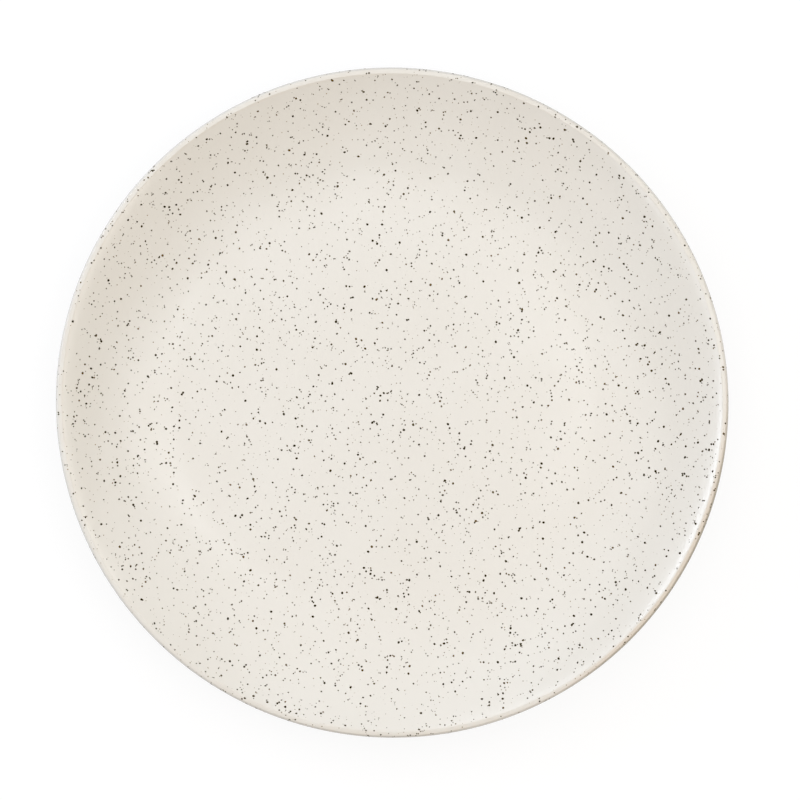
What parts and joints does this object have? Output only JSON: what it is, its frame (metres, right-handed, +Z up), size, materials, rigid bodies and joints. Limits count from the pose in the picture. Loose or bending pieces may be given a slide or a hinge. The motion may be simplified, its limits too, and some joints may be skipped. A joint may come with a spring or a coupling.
{
  "type": "coupe dinner plate",
  "caption": "Round rimless stoneware dinner plate: a flat floor sweeps up in one curve to a rounded lip, with a foot ring below and a pale speckled glaze.",
  "frame": {"origin": "centre of the foot ring, on the plane of the table that the plate stands on", "axes": "+Z up along the plate's axis of rotation; X and Y are free, with +Y towards the top edge of the picture and +X to its right"},
  "size_m": [0.27, 0.27, 0.026],
  "materials": {
    "bare_stoneware": "bare fired buff clay, matt and slightly sandy",
    "speckled_glaze": "warm off-white satin-gloss glaze with fine dark brown iron specks"
  },
  "bodies": {
    "root": {"stoneware_body": "bare_stoneware", "glaze_coat": "speckled_glaze", "foot_well_glaze": "speckled_glaze"}
  },
  "joints": []
}
